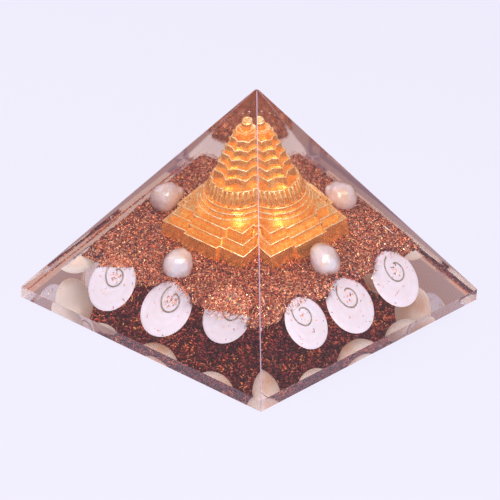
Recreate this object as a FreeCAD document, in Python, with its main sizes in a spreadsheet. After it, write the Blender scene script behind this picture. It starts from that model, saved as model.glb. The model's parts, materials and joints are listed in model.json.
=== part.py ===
import FreeCAD, Part
import math
import os

import Sketcher

# A clear resin pyramid with its fillings cast inside: a gilded stepped yantra, four pearls,
# twelve domed shell discs and a bed of copper shavings.
# Origin at the middle of the base, +Z up, millimetres. The four sides face -Y, +X, +Y and -X.

SIZES = {
    "base_side": 70.0,
    "rim_height": 2.5,
    "apex_height": 48.4,
    "apex_flat": 0.9,
    "edge_round": 0.5,
    "skin": 2.4,
    "bed_floor": 10.9,
    "bed_depth": 2.05,
    "foot_level": 12.1,
    "foot_side": 23.7,
    "foot_height": 4.6,
    "tier_ledge_width": 1.48,
    "tier_rise": 1.6,
    "gate_width": 9.6,
    "gate_depth": 1.0,
    "ring_radius": 8.9,
    "ring_ledge_width": 0.55,
    "ring_rise": 1.1,
    "petal_radius": 7.35,
    "petal_round": 1.75,
    "petal_rise": 3.4,
    "star_radius": 6.2,
    "star_ledge_width": 0.7,
    "star_rise": 2.05,
    "first_star_rise": 2.6,
    "cup_radius": 2.5,
    "cup_rise": 1.3,
    "dish_radius": 1.15,
    "dish_depth": 0.5,
    "neck_radius": 0.85,
    "neck_rise": 1.05,
    "knob_radius": 1.27,
    "knob_rise": 1.4,
    "knob_round": 0.45,
    "pearl_width": 7.6,
    "disc_width": 12.1,
    "disc_thickness": 4.2,
}

# Counts of what the yantra repeats.
TIERS = 3
RINGS = 3
PETALS = 16
STARS = 5
STAR_POINTS = 8
CUP_CORNERS = 3

# How far a star's hollows lie from the axis, as a share of its points' radius.
HOLLOW_SHARE = 0.80

# An edge lies level when its ends differ in height by less than this share of its length.
LEVEL_SHARE = 1e-4

# How far the petals lean inwards, in degrees.
PETAL_LEAN = 14.0

# How the castings lean in the resin, in degrees: turn about Z, then tip about Y and X.
YANTRA_TURN, YANTRA_TIP_Y, YANTRA_TIP_X = -2.0, -0.3, 4.0
STAR_TURN = 4.0  # of the stars on the yantra's squares
BED_TIP_Y, BED_TIP_X = -1.4, 1.7
YANTRA_SHIFT_SHARES = (-0.0127, 0.0612)  # of the yantra's foot side

# A pearl lies in front of each side: sideways and outward as shares of half the base side,
# up from the bed's top as a share of the pearl's width, and its own width as a share.
PEARL_SHARES = {
    "pearl_front": (-0.034, 0.553, 0.09, 0.99),
    "pearl_right": (0.003, 0.527, 0.26, 1.03),
    "pearl_back": (-0.017, 0.566, 0.26, 1.00),
    "pearl_left": (-0.011, 0.547, 0.19, 0.97),
}
PEARL_HEIGHT_SHARE = 0.93
PEARL_SIDES, PEARL_BANDS = 16, 8

# Three shell discs lean behind each side. Sideways as a share of half the base side, the centre's
# height as a share of the disc's width, the sinking behind the skin as a share of its thickness,
# and its own width as a share. Then the lean off the side's slope, in degrees.
DISC_SHARES = {
    "disc_front_1": (-0.39, 0.64, 0.10, 0.99),
    "disc_front_2": (0.05, 0.58, 0.40, 1.03),
    "disc_front_3": (0.47, 0.80, 0.57, 0.97),
    "disc_right_1": (-0.39, 0.69, 0.20, 0.92),
    "disc_right_2": (0.01, 0.58, 0.50, 1.04),
    "disc_right_3": (0.44, 0.66, 0.38, 1.06),
    "disc_back_1": (-0.48, 0.80, 0.20, 1.00),
    "disc_back_2": (-0.03, 0.60, 0.15, 0.97),
    "disc_back_3": (0.42, 0.60, 0.25, 1.02),
    "disc_left_1": (-0.43, 0.64, 0.35, 1.01),
    "disc_left_2": (0.02, 0.60, 0.30, 0.96),
    "disc_left_3": (0.58, 0.57, 0.20, 1.02),
}
DISC_LEANS = {
    "disc_front_1": 2.0,
    "disc_front_2": 8.0,
    "disc_front_3": 2.0,
    "disc_right_1": 2.0,
    "disc_right_2": 8.0,
    "disc_right_3": 7.0,
    "disc_back_1": 5.0,
    "disc_back_2": 4.0,
    "disc_back_3": 6.0,
    "disc_left_1": 4.0,
    "disc_left_2": 6.0,
    "disc_left_3": 5.0,
}
DISC_SIDES, DISC_BANDS = 24, 4

SIDES = ("front", "right", "back", "left")

Vec = FreeCAD.Vector
Turn = FreeCAD.Rotation
X_AXIS, Y_AXIS, Z_AXIS = Vec(1, 0, 0), Vec(0, 1, 0), Vec(0, 0, 1)


def make_sheet(doc):
    sheet = doc.addObject("Spreadsheet::Sheet", "sheet")
    for row, (name, value) in enumerate(SIZES.items(), start=1):
        sheet.set("A%d" % row, name)
        sheet.set("B%d" % row, str(value))
        sheet.setAlias("B%d" % row, name)
    doc.recompute()
    return sheet


def cell(name):
    return "sheet." + name


def add_body(doc, name):
    body = doc.addObject("PartDesign::Body", name)
    body.Label = name
    return body


def flat_sketch(body, name, level):
    """An empty sketch on the body's XY plane, raised to the level that an expression gives."""
    sketch = body.newObject("Sketcher::SketchObject", name)
    planes = [f for f in body.Origin.OriginFeatures if f.Role == "XY_Plane"]
    sketch.AttachmentSupport = (planes[0], [""])
    sketch.MapMode = "FlatFace"
    sketch.setExpression("AttachmentOffset.Base.z", level)
    return sketch


def bind(sketch, index, name, expression):
    sketch.renameConstraint(index, name)
    sketch.setExpression("Constraints." + name, expression)


def rectangle(sketch, width, depth):
    """A rectangle centred on the sketch's origin, its two sizes given by expressions."""
    corners = [Vec(-1, -1, 0), Vec(1, -1, 0), Vec(1, 1, 0), Vec(-1, 1, 0)]
    for start, end in zip(corners, corners[1:] + corners[:1]):
        sketch.addGeometry(Part.LineSegment(start, end), False)
    for line in range(4):
        sketch.addConstraint(Sketcher.Constraint("Coincident", line, 2, (line + 1) % 4, 1))
    for line, kind in enumerate(("Horizontal", "Vertical", "Horizontal", "Vertical")):
        sketch.addConstraint(Sketcher.Constraint(kind, line))
    sketch.addConstraint(Sketcher.Constraint("Symmetric", 0, 1, 1, 2, -1, 1))
    across = sketch.addConstraint(Sketcher.Constraint("DistanceX", 0, 1, 0, 2, 2.0))
    bind(sketch, across, "width", width)
    along = sketch.addConstraint(Sketcher.Constraint("DistanceY", 1, 1, 1, 2, 2.0))
    bind(sketch, along, "depth", depth)


def circle(sketch, radius, reach=None, angle=0.0):
    """A circle at the origin, or with its centre the given reach away at the given angle."""
    aim = Vec(math.cos(angle), math.sin(angle), 0)
    middle = aim if reach else Vec(0, 0, 0)
    sketch.addGeometry(Part.Circle(middle, Z_AXIS, 1.0), False)
    round_size = sketch.addConstraint(Sketcher.Constraint("Radius", 0, 1.0))
    bind(sketch, round_size, "radius", radius)
    if reach is None:
        sketch.addConstraint(Sketcher.Constraint("Coincident", 0, 3, -1, 1))
        return
    across = sketch.addConstraint(Sketcher.Constraint("DistanceX", -1, 1, 0, 3, aim.x))
    bind(sketch, across, "across", "(%s) * cos(%r deg)" % (reach, math.degrees(angle)))
    along = sketch.addConstraint(Sketcher.Constraint("DistanceY", -1, 1, 0, 3, aim.y))
    bind(sketch, along, "along", "(%s) * sin(%r deg)" % (reach, math.degrees(angle)))


def star(sketch, points, radius, hollow=None):
    """A star about the origin with one point on -X, or a plain polygon without hollows."""
    reaches = [radius] if hollow is None else [radius, hollow]
    for number, reach in enumerate(reaches):
        sketch.addGeometry(Part.Circle(Vec(0, 0, 0), Z_AXIS, 1.0), True)
        sketch.addConstraint(Sketcher.Constraint("Coincident", number, 3, -1, 1))
        size = sketch.addConstraint(Sketcher.Constraint("Radius", number, 1.0))
        bind(sketch, size, "reach_%d" % number, reach)
    corners = []
    count = points * len(reaches)
    for corner in range(count):
        angle = math.pi + 2 * math.pi * corner / count
        corners.append(Vec(math.cos(angle), math.sin(angle), 0))
    first = len(reaches)
    for start, end in zip(corners, corners[1:] + corners[:1]):
        sketch.addGeometry(Part.LineSegment(start, end), False)
    for corner in range(count):
        line, after = first + corner, first + (corner + 1) % count
        sketch.addConstraint(Sketcher.Constraint("Coincident", line, 2, after, 1))
        sketch.addConstraint(Sketcher.Constraint("PointOnObject", line, 1, corner % first))
    for line in range(first + 1, first + count):
        sketch.addConstraint(Sketcher.Constraint("Equal", first, line))
    sketch.addConstraint(Sketcher.Constraint("PointOnObject", first, 1, -1))


def add_pad(body, sketch, length):
    pad = body.newObject("PartDesign::Pad", sketch.Name + "_pad")
    pad.Profile = sketch
    pad.setExpression("Length", length)
    return pad


def petal_tier(body, level):
    """A round core, one petal that leans against it, and the petal's polar pattern."""
    radius, petal_round, rise = cell("petal_radius"), cell("petal_round"), cell("petal_rise")
    reach = "%s - %s" % (radius, petal_round)
    core = flat_sketch(body, "petal_core", level)
    circle(core, reach)
    add_pad(body, core, rise)
    petal = flat_sketch(body, "petal", level)
    around = math.pi / PETALS
    circle(petal, petal_round, reach, around)
    pad = add_pad(body, petal, rise)
    inwards = math.tan(math.radians(PETAL_LEAN))
    pad.UseCustomVector = True
    pad.AlongSketchNormal = True
    pad.Direction = Vec(-inwards * math.cos(around), -inwards * math.sin(around), 1)
    pattern = body.newObject("PartDesign::PolarPattern", "petals")
    pattern.Originals = [pad]
    axes = [f for f in body.Origin.OriginFeatures if f.Role == "Z_Axis"]
    pattern.Axis = (axes[0], [""])
    pattern.Angle = 360
    pattern.Occurrences = PETALS
    body.Tip = pattern


def make_yantra(doc, values):
    """The gilded casting: three gated squares, three rings, petals, stars, cup and knob."""
    body = add_body(doc, "meru_yantra")
    level = "0"
    side, rise = cell("foot_side"), cell("foot_height")
    for tier in range(TIERS):
        reach = "%s + 2 * %s" % (side, cell("gate_depth"))
        outlines = {
            "square": (side, side),
            "gate_x": (reach, cell("gate_width")),
            "gate_y": (cell("gate_width"), reach),
        }
        for name, (width, depth) in outlines.items():
            sketch = flat_sketch(body, "tier_%d_%s" % (tier + 1, name), level)
            rectangle(sketch, width, depth)
            add_pad(body, sketch, rise)
        level = "%s + %s" % (level, rise)
        side = "%s - 2 * %s" % (side, cell("tier_ledge_width"))
        rise = cell("tier_rise")

    for ring in range(RINGS):
        sketch = flat_sketch(body, "ring_%d" % (ring + 1), level)
        circle(sketch, "%s - %d * %s" % (cell("ring_radius"), ring, cell("ring_ledge_width")))
        add_pad(body, sketch, cell("ring_rise"))
        level = "%s + %s" % (level, cell("ring_rise"))

    petal_tier(body, level)
    level = "%s + %s" % (level, cell("petal_rise"))

    for number in range(STARS):
        radius = "(%s - %d * %s)" % (cell("star_radius"), number, cell("star_ledge_width"))
        sketch = flat_sketch(body, "star_%d" % (number + 1), level)
        sketch.AttachmentOffset.Rotation = Turn(Z_AXIS, STAR_TURN)
        star(sketch, STAR_POINTS, radius, "%r * %s" % (HOLLOW_SHARE, radius))
        rise = cell("star_rise" if number else "first_star_rise")
        add_pad(body, sketch, rise)
        level = "%s + %s" % (level, rise)

    cup = flat_sketch(body, "cup", level)
    star(cup, CUP_CORNERS, cell("cup_radius"))
    cup_pad = add_pad(body, cup, cell("cup_rise"))
    level = "%s + %s" % (level, cell("cup_rise"))
    dish = flat_sketch(body, "dish", level)
    circle(dish, cell("dish_radius"))
    pocket = body.newObject("PartDesign::Pocket", "dish_pocket")
    pocket.Profile = dish
    pocket.setExpression("Length", cell("dish_depth"))
    doc.recompute()
    if not pocket.Shape.Volume < cup_pad.Shape.Volume:
        raise RuntimeError("the dish cut nothing")

    neck = flat_sketch(body, "neck", "%s - %s" % (level, cell("dish_depth")))
    circle(neck, cell("neck_radius"))
    add_pad(body, neck, "%s + %s" % (cell("dish_depth"), cell("neck_rise")))
    level = "%s + %s" % (level, cell("neck_rise"))
    knob = flat_sketch(body, "knob", level)
    circle(knob, cell("knob_radius"))
    knob_pad = add_pad(body, knob, cell("knob_rise"))
    doc.recompute()

    top = knob_pad.Shape.BoundBox.ZMax
    rims = edge_names(knob_pad.Shape, lambda edge: lies_at(edge, top))
    dome = body.newObject("PartDesign::Chamfer", "knob_dome")
    dome.Base = (knob_pad, rims)
    dome.setExpression("Size", cell("knob_round"))
    body.Tip = dome

    across, along = (share * values["foot_side"] for share in YANTRA_SHIFT_SHARES)
    tipped = Turn(X_AXIS, YANTRA_TIP_X) * Turn(Y_AXIS, YANTRA_TIP_Y) * Turn(Z_AXIS, YANTRA_TURN)
    body.Placement = FreeCAD.Placement(Vec(across, along, values["foot_level"]), tipped)
    return body


def lies_at(edge, height):
    """Whether the whole edge lies at the given height."""
    box = edge.BoundBox
    return max(abs(box.ZMin - height), abs(box.ZMax - height)) < edge.Length * LEVEL_SHARE


def edge_names(shape, chosen):
    names = []
    for number, edge in enumerate(shape.Edges, start=1):
        if chosen(edge):
            names.append("Edge%d" % number)
    if not names:
        raise RuntimeError("no edge to soften")
    return names


def facet(points):
    return Part.Face(Part.makePolygon(points + points[:1]))


def ring_points(radius, level, sides):
    points = []
    for corner in range(sides):
        angle = 2 * math.pi * corner / sides
        points.append(Vec(radius * math.cos(angle), radius * math.sin(angle), level))
    return points


def banded_solid(rings, low, high):
    """A closed solid of flat facets through rings of points. A missing end point gives a flat end."""
    faces = []
    for under, over in zip(rings, rings[1:]):
        for corner in range(len(under)):
            after = (corner + 1) % len(under)
            faces.append(facet([under[corner], under[after], over[after], over[corner]]))
    for ring, point in ((rings[0], low), (rings[-1], high)):
        if point is None:
            faces.append(facet(ring))
            continue
        for corner in range(len(ring)):
            faces.append(facet([ring[corner], ring[(corner + 1) % len(ring)], point]))
    solid = Part.Solid(Part.Shell(faces))
    if solid.Volume < 0:
        solid.reverse()
    return solid


def add_feature(doc, name, shape, placement):
    feature = doc.addObject("Part::Feature", name)
    feature.Label = name
    feature.Shape = shape
    feature.Placement = placement
    return feature


def side_turn(name):
    """The turn about Z that brings the front side round to the side that a name tells."""
    for number, side in enumerate(SIDES):
        if side in name:
            return Turn(Z_AXIS, 90.0 * number)
    raise RuntimeError("no side in " + name)


def slope(values):
    """The run and rise of a side from the rim to the apex, and its angle off the base."""
    run = (values["base_side"] - values["apex_flat"]) / 2
    rise = values["apex_height"] - values["rim_height"]
    return run, rise, math.atan2(rise, run)


def make_pearls(doc, values):
    """Four pearls, half sunk in the copper, one before the middle of each side."""
    half = values["base_side"] / 2
    bed_top = values["bed_floor"] + values["bed_depth"]
    pearls = []
    for name, (sideways, outward, lift, width_share) in PEARL_SHARES.items():
        radius = width_share * values["pearl_width"] / 2
        tall = PEARL_HEIGHT_SHARE * radius
        rings = []
        for band in range(1, PEARL_BANDS):
            angle = math.pi * (band / PEARL_BANDS - 0.5)
            rings.append(ring_points(radius * math.cos(angle), tall * math.sin(angle), PEARL_SIDES))
        shape = banded_solid(rings, Vec(0, 0, -tall), Vec(0, 0, tall))
        turn = side_turn(name)
        level = bed_top + lift * values["pearl_width"]
        place = turn.multVec(Vec(sideways * half, -outward * half, level))
        pearls.append(add_feature(doc, name, shape, FreeCAD.Placement(place, turn)))
    return pearls


def make_discs(doc, values):
    """Twelve shell discs, flat side outward and domed side inward, three behind each side."""
    half = values["base_side"] / 2
    run, rise, angle = slope(values)
    thickness = values["disc_thickness"]
    discs = []
    for name, (sideways, height, sunk, width_share) in DISC_SHARES.items():
        radius = width_share * values["disc_width"] / 2
        rings = []
        for band in range(DISC_BANDS):
            swell = math.pi / 2 * band / DISC_BANDS
            level = -thickness * math.sin(swell)
            rings.append(ring_points(radius * math.cos(swell), level, DISC_SIDES))
        shape = banded_solid(rings, None, Vec(0, 0, -thickness))
        level = height * values["disc_width"]
        behind = (values["skin"] + sunk * thickness) / math.sin(angle)
        outward = half - (level - values["rim_height"]) * run / rise - behind
        turn = side_turn(name)
        place = turn.multVec(Vec(sideways * half, -outward, level))
        lean = turn * Turn(X_AXIS, math.degrees(angle) - DISC_LEANS[name])
        discs.append(add_feature(doc, name, shape, FreeCAD.Placement(place, lean)))
    return discs


def stand_wedge(wedge, foot, tip, rise, level):
    """A wedge stood upright and centred: half a foot side, half a tip side, rise and level."""
    for name in ("Xmin", "Zmin"):
        wedge.setExpression(name, "-(%s)" % foot)
        wedge.setExpression(name.replace("min", "max"), foot)
    for name in ("X2min", "Z2min"):
        wedge.setExpression(name, "-(%s)" % tip)
        wedge.setExpression(name.replace("min", "max"), tip)
    wedge.setExpression("Ymin", "0")
    wedge.setExpression("Ymax", rise)
    wedge.Placement.Rotation = Turn(X_AXIS, 90.0)
    wedge.setExpression("Placement.Base.z", level)


def make_bed_block(doc, values):
    """The space that the shavings fill: a tipped slab within the inner pyramid."""
    run = "((sheet.base_side - sheet.apex_flat) / 2)"
    rise = "(sheet.apex_height - sheet.rim_height)"
    steepness = "sin(atan(%s / %s))" % (rise, run)
    foot = "(sheet.base_side / 2 - sheet.skin / %s)" % steepness
    inner = doc.addObject("Part::Wedge", "inner_pyramid")
    stand_wedge(inner, foot, "0", "%s * %s / %s" % (foot, rise, run), "sheet.rim_height")

    slab = doc.addObject("Part::Box", "bed_slab")
    slab.setExpression("Length", "sheet.base_side")
    slab.setExpression("Width", "sheet.base_side")
    slab.setExpression("Height", "sheet.bed_depth")
    half = values["base_side"] / 2
    tipped = Turn(X_AXIS, BED_TIP_X) * Turn(Y_AXIS, BED_TIP_Y)
    corner = tipped.multVec(Vec(-half, -half, 0)) + Vec(0, 0, values["bed_floor"])
    slab.Placement = FreeCAD.Placement(corner, tipped)

    block = doc.addObject("Part::Common", "bed_block")
    block.Base = inner
    block.Tool = slab
    return block


def make_bed(doc, block, pieces):
    """The shavings: the block less the pieces that stand in it."""
    pieces_group = doc.addObject("Part::Compound", "pieces")
    pieces_group.Links = pieces
    bed = doc.addObject("Part::Cut", "copper_shavings")
    bed.Label = "copper_shavings"
    bed.Base = block
    bed.Tool = pieces_group
    return bed


def make_outer(doc):
    """The pyramid's outside: a short upright rim, four slopes and softly rounded edges."""
    body = doc.addObject("PartDesign::Body", "outer_pyramid")
    rim = flat_sketch(body, "rim", "0")
    rectangle(rim, cell("base_side"), cell("base_side"))
    add_pad(body, rim, cell("rim_height"))
    slopes = body.newObject("PartDesign::AdditiveWedge", "slopes")
    foot, tip = cell("base_side") + " / 2", cell("apex_flat") + " / 2"
    rise = "%s - %s" % (cell("apex_height"), cell("rim_height"))
    stand_wedge(slopes, foot, tip, rise, cell("rim_height"))
    doc.recompute()

    top = slopes.Shape.BoundBox.ZMax
    below_tip = edge_names(slopes.Shape, lambda edge: not lies_at(edge, top))
    soft = body.newObject("PartDesign::Fillet", "soft_edges")
    soft.Base = (slopes, below_tip)
    soft.setExpression("Radius", cell("edge_round"))
    body.Tip = soft
    return body


def make_resin(doc, outer, block, pieces):
    """The resin fills the pyramid round everything that is cast in it."""
    filling = doc.addObject("Part::MultiFuse", "filling")
    filling.Shapes = [block] + pieces
    resin = doc.addObject("Part::Cut", "resin_body")
    resin.Label = "resin_body"
    resin.Base = outer
    resin.Tool = filling
    return resin


def main():
    doc = FreeCAD.newDocument("orgone_pyramid")
    sheet = make_sheet(doc)
    values = {name: float(sheet.get(name)) for name in SIZES}
    yantra = make_yantra(doc, values)
    pearls = make_pearls(doc, values)
    discs = make_discs(doc, values)
    pieces = [yantra] + pearls + discs
    block = make_bed_block(doc, values)
    bed = make_bed(doc, block, pieces)
    outer = make_outer(doc)
    resin = make_resin(doc, outer, block, pieces)
    doc.recompute()

    for item in doc.Objects:
        if "Invalid" in item.State or "Error" in item.State:
            raise RuntimeError("failed object: " + item.Name)
    os.makedirs("parts", exist_ok=True)
    nodes = [resin, bed] + pieces
    for node in nodes:
        shape = node.Shape
        if shape.isNull() or not shape.isValid():
            raise RuntimeError("bad shape: " + node.Label)
        print("%-16s solids %d volume %.1f" % (node.Label, len(shape.Solids), shape.Volume))
    for node in nodes:
        node.Shape.exportStep("parts/%s.step" % node.Label)


main()
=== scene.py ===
import json
import math
import random

import bmesh
import bpy
from mathutils import Matrix, Quaternion, Vector

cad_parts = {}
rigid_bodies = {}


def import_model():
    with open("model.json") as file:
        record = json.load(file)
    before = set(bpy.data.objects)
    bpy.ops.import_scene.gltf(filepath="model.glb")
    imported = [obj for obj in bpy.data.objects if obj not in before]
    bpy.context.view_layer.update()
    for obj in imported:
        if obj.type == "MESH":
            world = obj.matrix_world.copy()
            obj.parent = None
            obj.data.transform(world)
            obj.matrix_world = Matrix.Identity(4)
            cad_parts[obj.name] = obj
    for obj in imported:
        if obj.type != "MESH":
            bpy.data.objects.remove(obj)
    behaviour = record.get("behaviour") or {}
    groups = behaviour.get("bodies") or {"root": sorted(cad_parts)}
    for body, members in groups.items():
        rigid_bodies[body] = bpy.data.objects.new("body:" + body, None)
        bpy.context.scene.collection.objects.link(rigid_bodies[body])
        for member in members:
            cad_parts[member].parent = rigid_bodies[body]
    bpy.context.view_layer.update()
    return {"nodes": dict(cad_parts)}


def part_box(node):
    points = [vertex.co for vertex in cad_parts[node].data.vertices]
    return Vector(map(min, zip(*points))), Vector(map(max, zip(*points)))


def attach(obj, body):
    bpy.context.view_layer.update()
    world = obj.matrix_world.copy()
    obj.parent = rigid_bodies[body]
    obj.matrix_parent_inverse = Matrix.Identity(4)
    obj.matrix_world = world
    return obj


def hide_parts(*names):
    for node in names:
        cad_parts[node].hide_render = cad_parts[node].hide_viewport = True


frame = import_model()

MM = 0.001
SIDE = 70 * MM
RIM = 2.5 * MM
APEX = 48.4 * MM
TIP = 0.9 * MM
SLOPE = math.atan2(APEX - RIM, (SIDE - TIP) / 2)
SKIN = 2.4 * MM
BED_LOW = 10.9 * MM
BED_TOP = 12.95 * MM
BED_GAP = 0.4 * MM
DISC_RADIUS = 6.05 * MM
DISC_THICK = 4.2 * MM
PEARL_RADIUS = 3.8 * MM
QUARTER = math.radians(90)
SIDE_NAMES = ("front", "right", "back", "left")


# Places on the four sides

def side_turn(name):
    """The turn that brings the front side to another side."""
    return Matrix.Rotation(QUARTER * SIDE_NAMES.index(name), 4, "Z")


def outward(level, depth):
    """How far from the middle a plane lies at a height, so deep behind the sloped face."""
    return SIDE / 2 - (level - RIM) / math.tan(SLOPE) - depth / math.sin(SLOPE)


# Modelling helpers

def rest():
    """Back to object mode with nothing selected."""
    if bpy.context.object and bpy.context.object.mode != "OBJECT":
        bpy.ops.object.mode_set(mode="OBJECT")
    bpy.ops.object.select_all(action="DESELECT")


def take(piece):
    """Makes one object the only one selected."""
    rest()
    piece.select_set(True)
    bpy.context.view_layer.objects.active = piece
    return piece


def edit(piece, kind="FACE"):
    """Opens one object for editing with nothing selected."""
    take(piece)
    bpy.ops.object.mode_set(mode="EDIT")
    bpy.ops.mesh.select_mode(type=kind)
    bpy.ops.mesh.select_all(action="DESELECT")


def pick_all():
    """Selects all of the mesh that is open."""
    bpy.ops.mesh.select_all(action="SELECT")


def pick_faces(piece, test):
    """Selects the faces whose middle and normal pass the test."""
    form = bmesh.from_edit_mesh(piece.data)
    for face in form.faces:
        face.select_set(bool(test(face.calc_center_median(), face.normal)))
    bmesh.update_edit_mesh(piece.data)


def pick_corners(piece, test):
    """Selects the corners whose place passes the test, with the edges between them."""
    form = bmesh.from_edit_mesh(piece.data)
    for corner in form.verts:
        corner.select_set(bool(test(corner.co)))
    form.select_flush_mode()
    bmesh.update_edit_mesh(piece.data)


def named(name):
    """Names the object just added and gives it back."""
    piece = bpy.context.object
    piece.name = name
    piece.data.name = name
    return piece


def settle(piece):
    """Puts an object's place, turn and scale into its mesh."""
    take(piece)
    bpy.ops.object.transform_apply(location=True, rotation=True, scale=True)
    return piece


def apply_all(piece):
    """Applies every modifier of an object."""
    take(piece)
    for modifier in list(piece.modifiers):
        bpy.ops.object.modifier_apply(modifier=modifier.name)


def smooth(piece, angle=40):
    """Smooth shading with sharp edges kept past the angle."""
    take(piece)
    bpy.ops.object.shade_smooth_by_angle(angle=math.radians(angle))


def copy_of(piece, name, place=Matrix.Identity(4)):
    """A copy with its own mesh, with the place worked into it."""
    mesh = piece.data.copy()
    mesh.transform(place)
    twin = bpy.data.objects.new(name, mesh)
    mesh.name = name
    bpy.context.scene.collection.objects.link(twin)
    return twin


def join(pieces):
    """Joins objects into the first of them."""
    rest()
    for piece in pieces:
        piece.select_set(True)
    bpy.context.view_layer.objects.active = pieces[0]
    bpy.ops.object.join()
    return pieces[0]


def discard(*pieces):
    """Removes objects that only served as patterns."""
    for piece in pieces:
        bpy.data.objects.remove(piece, do_unlink=True)


def finish_piece(piece, slot_name, *nodes):
    """Hangs a finished piece on the body and hides the nodes it stands for."""
    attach(piece, "root")
    if nodes:
        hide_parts(*nodes)


# Material helpers

def new_material(name):
    """An empty node material with its output."""
    material = bpy.data.materials.new(name)
    material.use_nodes = True
    tree = material.node_tree
    tree.nodes.clear()
    add(tree, "OutputMaterial")
    return material, tree


def put(made, **values):
    """Sets sockets by name, with an underscore for each space."""
    for key, value in values.items():
        made.inputs[key.replace("_", " ")].default_value = value
    return made


def add(tree, kind, **values):
    """A new shader node with its sockets set by name."""
    return put(tree.nodes.new("ShaderNode" + kind), **values)


def wire(tree, source, target):
    """Feeds an input socket from an output socket, or else with a colour or a number."""
    if isinstance(source, bpy.types.NodeSocket):
        tree.links.new(source, target)
    else:
        target.default_value = (*source, 1) if isinstance(source, tuple) else source


def output_of(tree):
    """The output node of a material."""
    return next(one for one in tree.nodes if one.type == "OUTPUT_MATERIAL")


def principled(tree, **values):
    """The surface shader, wired to the output."""
    shader = add(tree, "BsdfPrincipled", **values)
    wire(tree, shader.outputs[0], output_of(tree).inputs[0])
    return shader


def blended(tree, share, first, second):
    """Mixes two shaders by a value and gives the mixing node."""
    made = add(tree, "MixShader")
    for source, target in zip((share, first.outputs[0], second.outputs[0]), made.inputs):
        wire(tree, source, target)
    return made


def along(tree, value, start, end, low, high):
    """A value that goes from low to high while another goes from start to end."""
    made = add(tree, "MapRange", From_Min=start, From_Max=end, To_Min=low, To_Max=high)
    wire(tree, value, made.inputs["Value"])
    return made.outputs[0]


def coordinates(tree, kind):
    """One kind of texture coordinates, split into its three parts."""
    source = add(tree, "TexCoord")
    parts = add(tree, "SeparateXYZ")
    wire(tree, source.outputs[kind], parts.inputs[0])
    return parts.outputs


def ramp(tree, source, *stops):
    """A colour ramp fed by a value; each stop is a place and a colour."""
    made = add(tree, "ValToRGB")
    bar = made.color_ramp
    while len(bar.elements) < len(stops):
        bar.elements.new(0.5)
    for element, (place, colour) in zip(bar.elements, stops):
        element.position = place
        element.color = (*colour, 1)
    wire(tree, source, made.inputs[0])
    return made.outputs[0]


def mixed(tree, share, first, second, kind="MIX"):
    """Mixes two colours; each is a socket or a colour, and the share a socket or a number."""
    made = add(tree, "Mix")
    made.data_type = "RGBA"
    made.blend_type = kind
    for value, number in ((share, 0), (first, 6), (second, 7)):
        wire(tree, value, made.inputs[number])
    return made.outputs[2]


def sums(tree, kind, *values):
    """A math node; each value is a socket or a number."""
    made = add(tree, "Math")
    made.operation = kind
    for value, socket in zip(values, made.inputs):
        wire(tree, value, socket)
    return made.outputs[0]


def bump(tree, height, strength, distance, shader):
    """Bump from a height value on a shader's normal."""
    made = add(tree, "Bump", Strength=strength, Distance=distance)
    wire(tree, height, made.inputs["Height"])
    wire(tree, made.outputs[0], shader.inputs["Normal"])


def new_group(name, inputs, outputs):
    """A shader node group with named sockets."""
    tree = bpy.data.node_groups.new(name, "ShaderNodeTree")
    for label, kind, value in inputs:
        socket = tree.interface.new_socket(label, in_out="INPUT", socket_type="NodeSocket" + kind)
        socket.default_value = value
    for label, kind in outputs:
        tree.interface.new_socket(label, in_out="OUTPUT", socket_type="NodeSocket" + kind)
    return tree, tree.nodes.new("NodeGroupInput"), tree.nodes.new("NodeGroupOutput")


def use_group(tree, group, **values):
    """Places a node group in a material with its own values."""
    made = add(tree, "Group")
    made.node_tree = group
    return put(made, **values)


# Shared effects

def make_mottle():
    """Two colours in soft clouds, with a fine grain in the height."""
    tree, inside, outside = new_group(
        "mottle",
        [
            ("First", "Color", (1, 1, 1, 1)),
            ("Second", "Color", (0, 0, 0, 1)),
            ("Scale", "Float", 300.0),
            ("Grain", "Float", 3000.0),
            ("Low", "Float", 0.4),
            ("High", "Float", 0.6),
        ],
        [("Color", "Color"), ("Mask", "Float"), ("Height", "Float")],
    )
    coords = add(tree, "TexCoord")
    clouds = add(tree, "TexNoise", Detail=4.0)
    grain = add(tree, "TexNoise", Detail=2.0)
    for texture, scale in ((clouds, "Scale"), (grain, "Grain")):
        wire(tree, coords.outputs["Object"], texture.inputs["Vector"])
        wire(tree, inside.outputs[scale], texture.inputs["Scale"])
    spread = add(tree, "MapRange")
    wire(tree, clouds.outputs[0], spread.inputs["Value"])
    wire(tree, inside.outputs["Low"], spread.inputs["From Min"])
    wire(tree, inside.outputs["High"], spread.inputs["From Max"])
    mask = spread.outputs[0]
    colour = mixed(tree, mask, inside.outputs["First"], inside.outputs["Second"])
    wire(tree, colour, outside.inputs["Color"])
    wire(tree, mask, outside.inputs["Mask"])
    wire(tree, grain.outputs[0], outside.inputs["Height"])
    return tree


def make_wear_and_highlight_edges():
    """A mask that is bright on the rounded lips of a casting, for their pale colour: partly worn
    gilding, partly a painted highlight.
    """
    tree, inside, outside = new_group(
        "wear_and_highlight_edges",
        [("Radius", "Float", 0.0003), ("Low", "Float", 0.02), ("High", "Float", 0.3)],
        [("Mask", "Float")],
    )
    shape = add(tree, "NewGeometry")
    rounded = add(tree, "Bevel")
    wire(tree, inside.outputs["Radius"], rounded.inputs["Radius"])
    dot = add(tree, "VectorMath")
    dot.operation = "DOT_PRODUCT"
    wire(tree, rounded.outputs[0], dot.inputs[0])
    wire(tree, shape.outputs["Normal"], dot.inputs[1])
    spread = add(tree, "MapRange")
    wire(tree, sums(tree, "SUBTRACT", 1.0, dot.outputs["Value"]), spread.inputs["Value"])
    wire(tree, inside.outputs["Low"], spread.inputs["From Min"])
    wire(tree, inside.outputs["High"], spread.inputs["From Max"])
    wire(tree, spread.outputs[0], outside.inputs["Mask"])
    return tree


MOTTLE = make_mottle()
WEAR_AND_HIGHLIGHT_EDGES = make_wear_and_highlight_edges()


# Materials

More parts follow.
